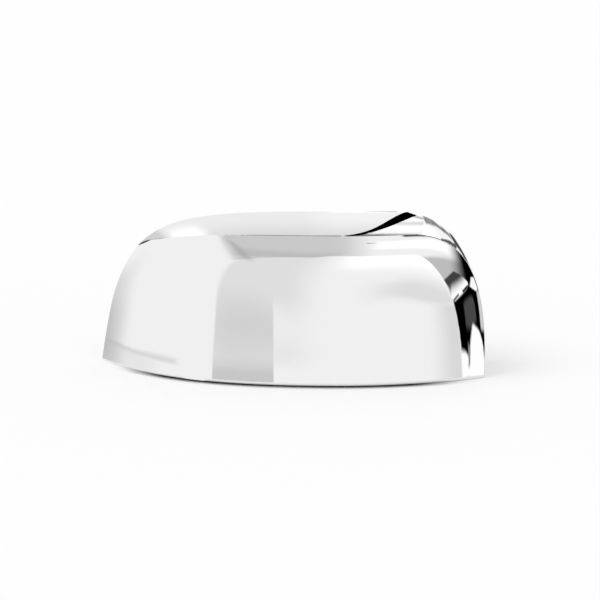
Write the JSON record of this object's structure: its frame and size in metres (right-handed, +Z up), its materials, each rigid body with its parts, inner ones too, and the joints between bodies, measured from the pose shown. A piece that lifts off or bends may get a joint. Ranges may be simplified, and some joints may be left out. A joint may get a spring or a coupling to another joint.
{
  "type": "wing mirror cover",
  "caption": "Chrome stick-on cover for the upper half of a car's wing mirror: a thin curved shell with a creased top panel, a bevelled swoosh and foam tape inside.",
  "frame": {"origin": "middle of the cover's box, on the plane of its lower rim", "axes": "+X along the cover to its blunt outer end, -Y to the front that meets the wind, +Z up; the open back is towards +Y"},
  "size_m": [0.2386, 0.076, 0.0943],
  "materials": {
    "chrome": "bright chrome plating on moulded ABS",
    "foam_tape": "matt acrylic foam with a liner film"
  },
  "bodies": {
    "root": {"mirror_cover": "chrome", "tape_front": "foam_tape", "tape_top": "foam_tape", "tape_inner_end": "foam_tape", "tape_outer_end": "foam_tape"}
  },
  "joints": []
}
